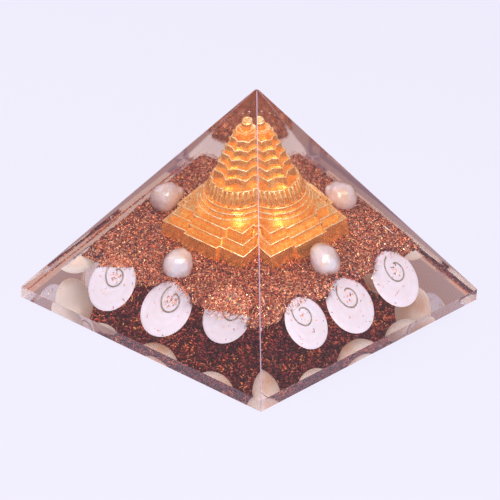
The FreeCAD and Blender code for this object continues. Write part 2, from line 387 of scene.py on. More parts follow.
def make_resin_finish():
    """Clear cast resin that lets lamp light through to what is cast in it.

    Its edges are frosted. Rays that stay trapped in it end in a painted glow in place of real
    light, its colour following the height, browner near the apex, with a darker one at the upright
    rim.
    """
    material, tree = new_material("clear_resin")
    shader = principled(tree, Base_Color=(1, 1, 1, 1), IOR=1.53, Transmission_Weight=1.0)
    place = coordinates(tree, "Object")
    wire(tree, along(tree, place["Z"], 0.012, 0.044, 0.008, 0.11), shader.inputs["Roughness"])
    frosted = add(tree, "BsdfPrincipled")
    put(frosted, Base_Color=(0.64, 0.52, 0.72, 1), Roughness=0.4)
    worn = add(tree, "Attribute")
    worn.attribute_name = "frost"
    share = sums(tree, "MULTIPLY", worn.outputs["Fac"], FROST_SHARE)
    ground = blended(tree, share, shader, frosted)
    path = add(tree, "LightPath")
    trapped = sums(tree, "GREATER_THAN", path.outputs["Glossy Depth"], 1.5)
    trapped_glow_colour = ramp(
        tree,
        sums(tree, "MULTIPLY", place["Z"], 20.0),
        (0.0, (0.42, 0.29, 0.31)),
        (0.006, (0.42, 0.29, 0.31)),
        (0.02, (0.66, 0.54, 0.54)),
        (0.55, (0.68, 0.52, 0.49)),
        (0.85, (0.86, 0.44, 0.31)),
    )
    sideways = (sums(tree, "ABSOLUTE", place["X"]), sums(tree, "ABSOLUTE", place["Y"]))
    across = sums(tree, "MAXIMUM", *sideways)
    rim = sums(tree, "GREATER_THAN", across, SIDE / 2 - 0.1 * MM)
    # Painted glow: trapped rays get this fixed colour instead of real light, darker at the upright
    # rim.
    glow = add(tree, "Emission", Strength=1.0)
    wire(tree, mixed(tree, rim, trapped_glow_colour, (0.29, 0.19, 0.26)), glow.inputs["Color"])
    deep = blended(tree, trapped, ground, glow)
    clear = add(tree, "BsdfTransparent", Color=(0.97, 0.97, 0.97, 1))
    passing = sums(tree, "MAXIMUM", path.outputs["Is Shadow Ray"], path.outputs["Is Diffuse Ray"])
    output = output_of(tree)
    wire(tree, blended(tree, passing, deep, clear).outputs[0], output.inputs[0])
    warmth = add(tree, "VolumeAbsorption")
    put(warmth, Color=(0.82, 0.46, 0.26, 1), Density=12.0)
    wire(tree, warmth.outputs[0], output.inputs["Volume"])
    skin = use_group(tree, MOTTLE, Scale=60.0, Grain=90.0)
    bump(tree, skin.outputs["Height"], 0.004, 0.0001, shader)
    return material


def make_gilt_finish():
    """Gilded cast metal: orange gold with a cast grain, and a painted glow on its walls in place of
    light from the resin.
    """
    material, tree = new_material("gilt_metal")
    shader = principled(tree, Metallic=1.0, Emission_Color=(1.0, 0.46, 0.13, 1))
    # Painted glow: walls glow orange more strongly than the tops.
    upwards = coordinates(tree, "Normal")["Z"]
    wire(tree, along(tree, upwards, 0.25, 0.85, 0.13, 0.04), shader.inputs["Emission Strength"])
    tone = use_group(tree, MOTTLE, Scale=1100.0, Grain=2900.0, Low=0.40, High=0.60)
    put(tone, First=(0.98, 0.49, 0.12, 1), Second=(1.0, 0.74, 0.35, 1))
    # Painted highlight, partly worn gilding: the rounded edges are paler.
    lips = use_group(tree, WEAR_AND_HIGHLIGHT_EDGES, Radius=0.0006, Low=0.02, High=0.25)
    colour = mixed(tree, lips.outputs["Mask"], tone.outputs["Color"], (1.0, 0.79, 0.42))
    wire(tree, colour, shader.inputs["Base Color"])
    grain = tone.outputs["Height"]
    wire(tree, along(tree, grain, 0.3, 0.7, 0.18, 0.36), shader.inputs["Roughness"])
    bump(tree, sums(tree, "ADD", grain, tone.outputs["Mask"]), 0.14, 0.0001, shader)
    return material


def make_lip_finish():
    """The lips of the casting: pale gold, partly worn gilding and partly a painted highlight,
    broken by specks of the deeper tone.
    """
    material, tree = new_material("gilt_lips")
    shader = principled(tree, Metallic=0.6)
    tone = use_group(tree, MOTTLE, Scale=900.0, Grain=3600.0, Low=0.43, High=0.55)
    put(tone, First=(1.0, 0.84, 0.54, 1), Second=(0.98, 0.54, 0.18, 1))
    wire(tree, tone.outputs["Color"], shader.inputs["Base Color"])
    grain = tone.outputs["Height"]
    wire(tree, along(tree, grain, 0.3, 0.7, 0.22, 0.4), shader.inputs["Roughness"])
    bump(tree, grain, 0.6, 0.00005, shader)
    return material


def make_pearl_finish():
    """Cream pink nacre: warm patches, cool patches painted as a sheen, and painted shade, a deeper
    tone, at the rim.
    """
    material, tree = new_material("pearl_nacre")
    shader = principled(tree, Roughness=0.3, Coat_Weight=1.0, Coat_Roughness=0.22)
    put(shader, Subsurface_Weight=0.1, Subsurface_Scale=0.0005)
    put(shader, Thin_Film_Thickness=420.0, Thin_Film_IOR=1.6)
    tone = use_group(tree, MOTTLE, Scale=330.0, Grain=1500.0, Low=0.36, High=0.62)
    put(tone, First=(0.86, 0.66, 0.68, 1), Second=(0.76, 0.54, 0.42, 1))
    # Painted sheen: cool lilac patches stand in for the nacre's shimmer.
    cool = use_group(tree, MOTTLE, Scale=240.0, Grain=900.0, Low=0.46, High=0.60)
    share = sums(tree, "MULTIPLY", cool.outputs["Mask"], 0.75)
    painted_sheen = mixed(tree, share, tone.outputs["Color"], (0.74, 0.70, 0.84))
    # Painted shade: the colour turns deeper towards the rim as the surface faces away.
    facing = add(tree, "LayerWeight", Blend=0.35)
    colour = mixed(tree, facing.outputs["Facing"], painted_sheen, (0.54, 0.36, 0.34))
    wire(tree, colour, shader.inputs["Base Color"])
    bump(tree, sums(tree, "ADD", cool.outputs["Height"], tone.outputs["Mask"]), 0.4, 0.0003, shader)
    return material


def make_shell_finish():
    """White shell, a little pink, with faint growth rings that follow the disc."""
    material, tree = new_material("white_shell")
    shader = principled(tree, Roughness=0.38, Subsurface_Weight=0.1, Subsurface_Scale=0.0008)
    tone = use_group(tree, MOTTLE, Scale=240.0, Grain=2600.0, Low=0.35, High=0.75)
    put(tone, First=(0.84, 0.75, 0.86, 1), Second=(0.79, 0.69, 0.75, 1))
    place = add(tree, "UVMap")
    place.uv_map = "disc_face"
    rings = add(tree, "TexWave")
    rings.wave_type = "RINGS"
    rings.rings_direction = "SPHERICAL"
    put(rings, Scale=1.1, Distortion=2.5, Detail=2.0)
    wire(tree, place.outputs[0], rings.inputs["Vector"])
    faint = sums(tree, "MULTIPLY", rings.outputs[1], 0.12)
    colour = mixed(tree, faint, tone.outputs["Color"], (0.62, 0.50, 0.50))
    wire(tree, colour, shader.inputs["Base Color"])
    bump(tree, sums(tree, "ADD", faint, tone.outputs["Height"]), 0.15, 0.0001, shader)
    return material


def make_shell_back_finish():
    """The domed side of a shell disc: beige with brown clouds, with a painted glow in the same
    colours.
    """
    material, tree = new_material("shell_back")
    shader = principled(tree, Roughness=0.35, Subsurface_Weight=0.1, Subsurface_Scale=0.0008)
    # Painted glow: the backs glow a little in their own colours, in place of the light they lack.
    put(shader, Emission_Strength=0.17)
    tone = use_group(tree, MOTTLE, Scale=130.0, Grain=2600.0, Low=0.47, High=0.72)
    put(tone, First=(0.92, 0.83, 0.76, 1), Second=(0.74, 0.42, 0.26, 1))
    for socket in ("Base Color", "Emission Color"):
        wire(tree, tone.outputs["Color"], shader.inputs[socket])
    bump(tree, tone.outputs["Height"], 0.12, 0.0001, shader)
    return material


def make_spiral_finish():
    """The grey brown line that winds over a shell disc."""
    material, tree = new_material("shell_spiral")
    shader = principled(tree, Roughness=0.4)
    tone = use_group(tree, MOTTLE, Scale=1500.0, Grain=4000.0)
    put(tone, First=(0.40, 0.30, 0.23, 1), Second=(0.24, 0.17, 0.13, 1))
    wire(tree, tone.outputs["Color"], shader.inputs["Base Color"])
    bump(tree, tone.outputs["Height"], 0.3, 0.0001, shader)
    return material


def chip_shades(tree, *stops):
    """The colour of a shaving by its own shade."""
    shade = add(tree, "Attribute")
    shade.attribute_name = "chip_shade"
    return ramp(tree, shade.outputs["Fac"], *stops)


def tint_chips(tree, shader, colour, darker):
    """Gives shavings a colour with darker specks and a fine grain."""
    tone = use_group(tree, MOTTLE, Scale=1800.0, Grain=6000.0)
    put(tone, First=(1.0, 1.0, 1.0, 1), Second=darker)
    speckled = mixed(tree, 1.0, colour, tone.outputs["Color"], "MULTIPLY")
    wire(tree, speckled, shader.inputs["Base Color"])
    bump(tree, tone.outputs["Height"], 0.25, 0.00005, shader)


def make_chip_finish():
    """Bright copper shavings, each of its own shade."""
    material, tree = new_material("copper_chips")
    shader = principled(tree, Metallic=1.0, Roughness=0.38)
    colour = chip_shades(
        tree,
        (0.0, (0.14, 0.025, 0.015)),
        (0.30, (0.62, 0.14, 0.07)),
        (0.55, (0.98, 0.34, 0.18)),
        (0.80, (1.0, 0.58, 0.40)),
        (0.93, (0.98, 0.62, 0.20)),
        (1.0, (1.0, 0.90, 0.78)),
    )
    tint_chips(tree, shader, colour, (0.84, 0.68, 0.60, 1))
    return material


def make_deep_chip_finish():
    """The shavings on the underside: dark red with bright orange ones, with a painted glow and
    painted bright and dark patches.
    """
    material, tree = new_material("deep_chips")
    # Painted glow: the chips glow in their own colours, in place of light from below.
    shader = principled(tree, Metallic=0.4, Roughness=0.35, Emission_Strength=0.74)
    colour = chip_shades(
        tree,
        (0.0, (0.02, 0.003, 0.010)),
        (0.50, (0.10, 0.010, 0.024)),
        (0.64, (0.34, 0.045, 0.05)),
        (0.80, (0.66, 0.13, 0.10)),
        (0.91, (0.90, 0.34, 0.20)),
        (1.0, (1.0, 0.62, 0.24)),
    )
    # Painted light and shade: large patches made bright and orange, others purple and dark.
    patches = use_group(tree, MOTTLE, Scale=150.0, Grain=900.0, Low=0.42, High=0.60)
    put(patches, First=(0.50, 0.28, 0.64, 1), Second=(1.0, 0.86, 0.72, 1))
    colour = mixed(tree, 1.0, colour, patches.outputs["Color"], "MULTIPLY")
    wire(tree, colour, shader.inputs["Emission Color"])
    tint_chips(tree, shader, colour, (0.62, 0.55, 0.52, 1))
    return material


def make_heap_finish():
    """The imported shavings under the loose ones, dark in the gaps."""
    material, tree = new_material("packed_shavings")
    shader = principled(tree, Metallic=0.6, Roughness=0.5)
    coords = add(tree, "TexCoord")
    cells = add(tree, "TexVoronoi", Scale=2600.0)
    wire(tree, coords.outputs["Object"], cells.inputs["Vector"])
    split = add(tree, "SeparateColor")
    wire(tree, cells.outputs["Color"], split.inputs[0])
    colour = ramp(
        tree,
        split.outputs[0],
        (0.0, (0.05, 0.016, 0.026)),
        (0.5, (0.20, 0.062, 0.056)),
        (0.85, (0.50, 0.20, 0.13)),
        (1.0, (0.80, 0.48, 0.34)),
    )
    wire(tree, colour, shader.inputs["Base Color"])
    bump(tree, cells.outputs["Distance"], 0.6, 0.0002, shader)
    return material


# Camera

CAMERA_PLACE = (0.290645, -0.326176, 0.221889)
CAMERA_AIM = Vector((-0.00024964, -0.00022279, 0.01156405))
CAMERA_ROLL = math.radians(1.8082)
FOCAL_LENGTH = 162.5476
SENSOR_WIDTH = 36


def make_camera():
    """The photograph's camera, as worked out from the outline of the pyramid."""
    lens = bpy.data.cameras.new("camera")
    lens.lens = FOCAL_LENGTH
    lens.sensor_width = SENSOR_WIDTH
    lens.clip_start = 0.01
    lens.clip_end = 20
    camera = bpy.data.objects.new("camera", lens)
    bpy.context.scene.collection.objects.link(camera)
    camera.location = CAMERA_PLACE
    aim = CAMERA_AIM - camera.location
    turn = aim.to_track_quat("-Z", "Y") @ Quaternion((0, 0, 1), CAMERA_ROLL)
    camera.rotation_euler = turn.to_euler()
    bpy.context.scene.camera = camera


# The resin

# How frosted the upright rim is beside the worn edges, and how much of the frost shows.
RIM_FROST = 0.16
FROST_SHARE = 0.55
EDGE_ROUND = 0.14 * MM
# Middle and radius of each bubble, in metres: four under the apex, one at the left and one low
# at the right.
BUBBLES = (
    ((-0.0022, -0.0002, 0.0418), 0.00022),
    ((-0.0012, 0.0010, 0.0420), 0.00030),
    ((0.0004, 0.0022, 0.0420), 0.00026),
    ((0.0014, 0.0030, 0.0418), 0.00020),
    ((-0.0262, -0.0120, 0.0125), 0.00030),
    ((0.0262, 0.0130, 0.0040), 0.00045),
)


def make_bubble(place, radius):
    """A bubble: a small round hollow with its faces turned inwards."""
    bpy.ops.mesh.primitive_uv_sphere_add(segments=14, ring_count=8, radius=radius, location=place)
    bubble = named("bubble")
    bubble.scale = (1.0, 0.9, 1.15)
    settle(bubble)
    edit(bubble)
    pick_all()
    bpy.ops.mesh.flip_normals()
    rest()
    smooth(bubble, 180)
    return bubble


def make_resin_shell(finish):
    """The closed pyramid: a low square block drawn up to a small flat tip."""
    bpy.ops.mesh.primitive_cube_add(size=SIDE, location=(0, 0, SIDE / 2))
    shell = named("resin_shell")
    shell.scale = (1, 1, RIM / SIDE)
    shell.location = (0, 0, RIM / 2)
    settle(shell)
    shell.data.materials.append(finish)
    shell.data.materials.append(finish)
    edit(shell)
    pick_faces(shell, lambda place, normal: normal.z > 0.5)
    bpy.ops.mesh.extrude_region_move(TRANSFORM_OT_translate={"value": (0, 0, APEX - RIM)})
    share = TIP / SIDE
    bpy.ops.transform.resize(value=(share, share, 1))
    bpy.ops.mesh.select_mode(type="EDGE")
    form = bmesh.from_edit_mesh(shell.data)
    for edge in form.edges:
        low, high = sorted(corner.co.z for corner in edge.verts)
        edge.select_set(high - low > RIM / 2)
    bmesh.update_edit_mesh(shell.data)
    bpy.ops.mesh.bevel(offset=EDGE_ROUND, segments=3, profile=0.5, affect="EDGES", material=1)
    rest()
    frost = shell.data.attributes.new("frost", "FLOAT", "FACE")
    for face in shell.data.polygons:
        upright = abs(face.normal.z) < 0.1 and face.area > 1e-5
        frost.data[face.index].value = RIM_FROST if upright else face.material_index
        face.material_index = 0
    shell.data.materials.pop()
    bubbles = [make_bubble(place, radius) for place, radius in BUBBLES]
    for bubble in bubbles:
        bubble.data.materials.append(finish)
    join([shell] + bubbles)
    finish_piece(shell, "clear_resin", "resin_body")


# The yantra

# The casting's middle line: a point on it, and its way up.
AXIS_POINT = Vector((-0.352, 0.697, 24.5)) * MM
AXIS_WAY = Vector((-0.0061, -0.0768, 1))
LIP_ANGLE = math.radians(28)
LIP_BEAD = 0.17 * MM
STEP_ROUND = 0.1 * MM

# The ribs of the tall ring: their number, the turn of the first and their lean, then in
# millimetres their height on the middle line, their distance from it and their half sizes.
RIBS = 32
RIB_TURN, RIB_LEAN = 3.4, -14
RIB_LEVEL, RIB_REACH = 24.9, 6.88
RIB_SIZE = (0.38, 0.65, 1.75)

# Radii and heights of the turned pieces in millimetres, and the height they are turned about.
CUP_LEVEL = 39.0
CUP = (
    (0.9, 37.0), (1.5, 37.3), (1.8, 38.0), (2.3, 38.7), (2.42, 38.9), (2.25, 38.97),
    (1.85, 38.6), (1.45, 38.15), (0.9, 38.1),
)
STEM = ((0.95, 38.0), (1.2, 38.2), (1.2, 40.3), (0.95, 40.5))
RING = ((1.14, 40.9), (1.16, 41.14), (1.06, 41.26), (0.92, 41.27), (0.82, 41.16), (0.8, 41.0))


def on_axis(level):
    """The place on the casting's middle line at a height in millimetres, turned along it."""
    middle = AXIS_POINT + AXIS_WAY * (level * MM - AXIS_POINT.z)
    return Matrix.Translation(middle) @ AXIS_WAY.to_track_quat("Z", "Y").to_matrix().to_4x4()


def merged_casting(name):
    """The casting's solid with its doubles merged and its flat faces whole, open for editing."""
    source = frame["nodes"]["meru_yantra"]
    casting = copy_of(source, name, source.matrix_world)
    casting.data.materials.clear()
    edit(casting, "VERT")
    pick_all()
    bpy.ops.mesh.remove_doubles(threshold=0.00001)
    bpy.ops.mesh.dissolve_limited(angle_limit=math.radians(1.5))
    bpy.ops.mesh.select_mode(type="EDGE")
    bpy.ops.mesh.select_all(action="DESELECT")
    return casting


def is_lip(edge):
    """True for an outward edge round the top of a step."""
    if len(edge.link_faces) != 2 or edge.calc_face_angle_signed() < LIP_ANGLE:
        return False
    rise = abs(edge.verts[0].co.z - edge.verts[1].co.z)
    return rise < 0.35 * edge.calc_length() and max(face.normal.z for face in edge.link_faces) > 0.8


def make_lips(lips):
    """A thin bead along the top of every step, where the gilding has built up."""
    beads = merged_casting("yantra_lips")
    form = bmesh.from_edit_mesh(beads.data)
    bare = [edge for edge in form.edges if not is_lip(edge)]
    bmesh.ops.delete(form, geom=form.faces[:], context="FACES_ONLY")
    bmesh.ops.delete(form, geom=bare, context="EDGES")
    loose = [corner for corner in form.verts if not corner.link_edges]
    bmesh.ops.delete(form, geom=loose, context="VERTS")
    bmesh.update_edit_mesh(beads.data)
    take(beads)
    bpy.ops.object.convert(target="CURVE")
    line = bpy.context.object
    line.data.bevel_depth = LIP_BEAD
    line.data.bevel_resolution = 2
    line.data.use_fill_caps = True
    bpy.ops.object.convert(target="MESH")
    beads = bpy.context.object
    beads.data.materials.clear()
    # The pale lip finish: partly worn gilding, partly a painted highlight.
    beads.data.materials.append(lips)
    smooth(beads, 60)
    return beads


def make_turned(name, finish, lips, bright, profile):
    """A turned piece: a ring drawn through the radii and heights of its profile, then closed.

    Its faces above the height called bright take the pale lip finish, partly worn gilding and
    partly a painted highlight.
    """
    radius, level = profile[0]
    bpy.ops.mesh.primitive_circle_add(vertices=40, radius=radius * MM, location=(0, 0, level * MM))
    piece = settle(named(name))
    edit(piece, "VERT")
    pick_all()
    for next_radius, next_level in profile[1:]:
        rise = (0, 0, (next_level - level) * MM)
        bpy.ops.mesh.extrude_region_move(TRANSFORM_OT_translate={"value": rise})
        bpy.ops.transform.resize(value=(next_radius / radius, next_radius / radius, 1))
        radius, level = next_radius, next_level
    pick_all()
    bpy.ops.mesh.fill_holes(sides=0)
    pick_all()
    bpy.ops.mesh.normals_make_consistent(inside=False)
    rest()
    piece.data.materials.append(finish)
    piece.data.materials.append(lips)
    for face in piece.data.polygons:
        face.material_index = 1 if face.center.z > bright * MM else 0
    piece.data.transform(on_axis(CUP_LEVEL) @ Matrix.Translation((0, 0, -CUP_LEVEL * MM)))
    smooth(piece, 50)
    return piece


def make_ribs(finish, lips):
    """Two upright ribs on each petal of the tall ring, thick at the foot, with the pale lip finish
    there as a painted highlight.
    """
    bpy.ops.mesh.primitive_uv_sphere_add(segments=12, ring_count=10, radius=1)
    pattern = named("rib_pattern")
    edit(pattern, "VERT")
    pick_corners(pattern, lambda place: place.z > 0.3)
    bpy.ops.transform.resize(value=(0.8, 0.8, 1))
    pick_corners(pattern, lambda place: place.z < -0.75)
    bpy.ops.transform.resize(value=(1.5, 1.6, 1))
    rest()
    pattern.data.materials.append(finish)
    pattern.data.materials.append(lips)
    for face in pattern.data.polygons:
        face.material_index = 1 if face.center.z < -0.8 else 0
    smooth(pattern, 180)
    on_ring = Matrix.Translation((RIB_REACH * MM, 0, 0))
    on_ring = on_ring @ Matrix.Rotation(math.radians(RIB_LEAN), 4, "Y")
    on_ring = on_ring @ Matrix.Diagonal((*(size * MM for size in RIB_SIZE), 1))
    ribs = []
    for number in range(RIBS):
        turn = Matrix.Rotation(math.radians(RIB_TURN + number * 360 / RIBS), 4, "Z")
        ribs.append(copy_of(pattern, "rib_%d" % number, on_axis(RIB_LEVEL) @ turn @ on_ring))
    discard(pattern)
    return join(ribs)


def make_yantra(finish, lips):
    """The stepped casting: its outward edges rounded, its lips beaded, its tall ring ribbed."""
    casting = merged_casting("yantra_casting")
    casting.data.materials.append(finish)
    casting.data.materials.append(lips)
    form = bmesh.from_edit_mesh(casting.data)
    for edge in form.edges:
        joined = len(edge.link_faces) == 2
        edge.select_set(joined and edge.calc_face_angle_signed() > LIP_ANGLE)
    bmesh.update_edit_mesh(casting.data)
    bpy.ops.mesh.bevel(
        offset=STEP_ROUND, segments=2, profile=0.5, affect="EDGES", clamp_overlap=True
    )
    rest()
    smooth(casting, 32)
    levelling = casting.modifiers.new("levelling", "WEIGHTED_NORMAL")
    levelling.keep_sharp = True
    apply_all(casting)
    casting = join(
        [
            casting,
            make_lips(lips),
            make_ribs(finish, lips),
            make_turned("yantra_cup", finish, lips, 38.85, CUP),
            make_turned("yantra_stem", finish, lips, 50.0, STEM),
            make_turned("yantra_ring", finish, lips, 41.1, RING),
        ]
    )
    finish_piece(casting, "gilt_metal", "meru_yantra")


# The pearls

# Depth of a dent, and how near its way a nib starts and how steeply it rises, for radius 1.
DENT = 0.10
NIB_START, NIB_RISE = 0.90, 2.2
# Side, the seed of the dents, and which way a nib points.
PEARLS = (
    ("front", 20, None),
    ("right", 35, None),
    ("back", 70, (-0.70, -0.62, 0.20)),
    ("left", 10, (0.72, 0.64, 0.25)),
)


def make_pearls(finish):
    """Four slightly uneven pearls, each fitted to its node's box."""
    bpy.ops.mesh.primitive_uv_sphere_add(segments=48, ring_count=28, radius=1)
    pattern = named("pearl_pattern")
    edit(pattern, "VERT")
    pick_corners(pattern, lambda place: place.z > 0.72)
    bpy.ops.transform.resize(value=(0.97, 0.97, 0.96))
    rest()
    clouds = bpy.data.textures.new("pearl_clouds", "CLOUDS")
    clouds.noise_scale = 0.0036
    for name, turn, nib in PEARLS:
        low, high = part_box("pearl_" + name)
        middle = (low + high) / 2
        half = (high - low) / 2
        sizes = Matrix.Diagonal((half.x * 0.995, half.y * 0.995, half.z, 1))
        place = Matrix.Translation(middle) @ sizes
        pearl = copy_of(pattern, name + "_pearl", place)
        swell = random.Random(turn)
        push = [Vector([swell.uniform(-1, 1) for _ in range(3)]).normalized() for _ in range(3)]
        for corner in pearl.data.vertices:
            way = (corner.co - middle).normalized()
            dent = sum(max(0.0, way.dot(one) - 0.5) for one in push)
            corner.co -= way * PEARL_RADIUS * DENT * dent
            near = way.dot(Vector(nib).normalized()) - NIB_START if nib else 0
            if near > 0:
                corner.co += way * PEARL_RADIUS * NIB_RISE * near
        lumps = pearl.modifiers.new("lumps", "DISPLACE")
        lumps.texture = clouds
        lumps.texture_coords = "LOCAL"
        lumps.strength = 0.8 * MM
        lumps.mid_level = 0.46
        apply_all(pearl)
        smooth(pearl, 180)
        pearl.data.materials.append(finish)
        finish_piece(pearl, "pearl_nacre", "pearl_" + name)
    discard(pattern)


# The shell discs

# Depth of the dome of a disc of unit radius.
DOME = 0.66
# Side, number, then as in the solids: sideways, height, sinking, width and lean; last the turn
# of the disc about its own middle.
DISCS = (
    ("front", 1, -0.39, 0.64, 0.10, 0.99, 2, 33),
    ("front", 2, 0.05, 0.58, 0.40, 1.03, 8, 22),
    ("front", 3, 0.47, 0.80, 0.57, 0.97, 2, 8),
    ("right", 1, -0.39, 0.69, 0.20, 0.92, 2, 32),
    ("right", 2, 0.01, 0.58, 0.50, 1.04, 8, 15),
    ("right", 3, 0.44, 0.66, 0.38, 1.06, 7, -2),
    ("back", 1, -0.48, 0.80, 0.20, 1.00, 5, 15),
    ("back", 2, -0.03, 0.60, 0.15, 0.97, 4, -10),
    ("back", 3, 0.42, 0.60, 0.25, 1.02, 6, 40),
    ("left", 1, -0.43, 0.64, 0.35, 1.01, 4, 5),
    ("left", 2, 0.02, 0.60, 0.30, 0.96, 6, 60),
    ("left", 3, 0.58, 0.57, 0.20, 1.02, 5, -20),
)


def make_spiral(finish):
    """A thin line wound inwards: a small ring drawn on round a centre, step by step."""
    inwards = [0.95] * 8 + [0.99] * 24 + [0.94] * 2
    turn = Matrix.Rotation(math.radians(10), 3, "Z")
    centre = Vector((0.17, 0.22, 0.034))
    start = centre + Vector((-0.12, 0.57, 0))
    upright = (QUARTER, 0, math.radians(100))
    bpy.ops.mesh.primitive_circle_add(vertices=6, radius=0.03, location=start, rotation=upright)
    line = settle(named("spiral_pattern"))
    edit(line, "VERT")
    pick_all()
    bpy.ops.mesh.edge_face_add()
    place = start
    for shrink in inwards:
        bpy.ops.mesh.extrude_region_move(TRANSFORM_OT_translate={"value": (0, 0, 0)})
        form = bmesh.from_edit_mesh(line.data)
        following = centre + turn @ (place - centre) * shrink
        for corner in form.verts:
            if corner.select:
                corner.co = following + turn @ (corner.co - place)
        place = following
        bmesh.update_edit_mesh(line.data)
    pick_all()
    bpy.ops.mesh.normals_make_consistent(inside=False)
    rest()
    line.data.materials.append(finish)
    return line


def make_disc_pattern(face, back, line):
    """A disc of unit radius: domed below, nearly flat above, with the spiral on it."""
    bpy.ops.mesh.primitive_uv_sphere_add(segments=48, ring_count=24, radius=1)
    disc = named("disc_pattern")
    edit(disc)
    pick_all()
    bpy.ops.mesh.bisect(plane_co=(0, 0, 0), plane_no=(0, 0, 1), use_fill=True, clear_outer=True)
    edit(disc)
    pick_faces(disc, lambda place, normal: normal.z > 0.9)
    for inset, lift in ((0.03, 0.012), (0.06, 0.008), (0.25, 0.006), (0.3, 0.002)):
        bpy.ops.mesh.inset(thickness=inset, depth=0)
        bpy.ops.transform.translate(value=(0, 0, lift))
    bpy.ops.mesh.poke()
    rest()
    for corner in disc.data.vertices:
        if corner.co.z < 0:
            reach = math.hypot(corner.co.x, corner.co.y)
            corner.co.z = -DOME * (1 - reach ** 2.3) ** 0.8
    disc.data.materials.append(face)
    disc.data.materials.append(back)
    for side in disc.data.polygons:
        side.material_index = 0 if side.normal.z > -0.2 and side.center.z > -0.06 else 1
    disc = join([disc, line])
    chart = disc.data.uv_layers.new(name="disc_face")
    for loop in disc.data.loops:
        place = disc.data.vertices[loop.vertex_index].co
        chart.data[loop.index].uv = (place.x, place.y)
    disc.data.uv_layers.active = chart
    smooth(disc, 50)
    return disc


def disc_place(name, place_number, rolled=False):
    """Where a disc of unit radius goes, its lean and its size, with its own turn if rolled."""
    for side, number, sideways, height, sunk, width, lean, roll in DISCS:
        if (side, number) != (name, place_number):
            continue
        level = height * 2 * DISC_RADIUS
        out = outward(level, SKIN + sunk * DISC_THICK)
        radius = DISC_RADIUS * width
        place = side_turn(side) @ Matrix.Translation((sideways * SIDE / 2, -out, level))
        place = place @ Matrix.Rotation(SLOPE - math.radians(lean), 4, "X")
        place = place @ Matrix.Diagonal((radius, radius, DISC_THICK / DOME, 1))
        return place @ Matrix.Rotation(math.radians(roll if rolled else 0), 4, "Z")


def make_discs(face, back, spiral):
    """Twelve shell discs leaned against the four sides."""
    pattern = make_disc_pattern(face, back, make_spiral(spiral))
    for side, number, *_ in DISCS:
        disc = copy_of(pattern, "shell_%s_%d" % (side, number), disc_place(side, number, True))
        finish_piece(disc, "white_shell", "disc_%s_%d" % (side, number))
    discard(pattern)


# The copper shavings

# Heights of the fringe's foot along each side in millimetres, from its left end to its right.
FRINGE_FEET = {
    "front": (
        13.2, 13.0, 12.6, 12.2, 12.2, 12.4, 10.2, 9.8, 12.4,
        12.0, 11.8, 11.0, 11.0, 10.6, 10.6, 11.4, 11.8, 11.0,
    ),
    "right": (
        11.4, 11.6, 12.9, 13.4, 13.4, 13.3, 11.6, 11.9, 13.4,
        13.5, 13.4, 11.8, 11.9, 13.4, 13.5, 13.5, 13.2, 13.0,
    ),
    "back": (12.8, 12.0, 11.6, 12.4, 12.0, 11.4, 12.0, 12.5, 12.2, 12.6),
    "left": (12.6, 12.0, 11.0, 11.6, 12.0, 11.2, 10.8, 11.4, 11.9, 12.4),
}
# How deep the fringe lies, how far it ends before the corners and how far it rises over the bed.
FRINGE_DEPTH, FRINGE_END, FRINGE_RISE = 1.9 * MM, 1.2 * MM, 0.3 * MM

# The bed's rise to the right and to the back, as a share of the way.
BED_SLANT = (0.025, 0.030)

# Discs whose upper parts stand before the bed.
UNCOVERED = tuple((side, number) for side in ("right", "front") for number in (1, 2, 3))

# Length, width and thickness of each kind of shaving in millimetres.
CHIP_SIZES = {
    "strip": (0.62, 0.16, 0.05),
    "curl": (0.50, 0.22, 0.05),
    "flake": (0.36, 0.26, 0.04),
}


def make_heap(finish):
    """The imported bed: a low sloped slab, divided and roughened."""
    low = outward(BED_LOW, SKIN) - BED_GAP
    top = outward(BED_TOP, SKIN) - BED_GAP
    bpy.ops.mesh.primitive_cube_add(size=2)
    heap = named("shavings_heap")
    heap.scale = (low, low, (BED_TOP - BED_LOW) / 2)
    heap.location = (0, 0, (BED_TOP + BED_LOW) / 2)
    settle(heap)
    edit(heap)
    pick_faces(heap, lambda place, normal: normal.z > 0.5)
    bpy.ops.transform.resize(value=(top / low, top / low, 1))
    pick_all()
    bpy.ops.mesh.subdivide(number_cuts=63)
    rest()
    for corner in heap.data.vertices:
        corner.co.z += BED_SLANT[0] * corner.co.x + BED_SLANT[1] * corner.co.y
    clouds = bpy.data.textures.new("heap_clouds", "CLOUDS")
    clouds.noise_scale = 0.0016
    clouds.noise_depth = 2
    rough = heap.modifiers.new("rough", "DISPLACE")
    rough.texture = clouds
    rough.texture_coords = "LOCAL"
    rough.strength = 0.9 * MM
    rough.mid_level = 0.62
    apply_all(heap)
    for side, number in UNCOVERED:
        place = disc_place(side, number)
        back = place.inverted()
        for corner in heap.data.vertices:
            seen = back @ corner.co
            if math.hypot(seen.x, seen.y) < 1.01 and -0.12 < seen.z < 0.6:
                # Before the disc's face, so it is pushed back behind it.
                corner.co = place @ Vector((seen.x, seen.y, -0.16))
    smooth(heap, 180)
    heap.data.materials.append(finish)
    finish_piece(heap, "copper_chips", "copper_shavings")
    return heap


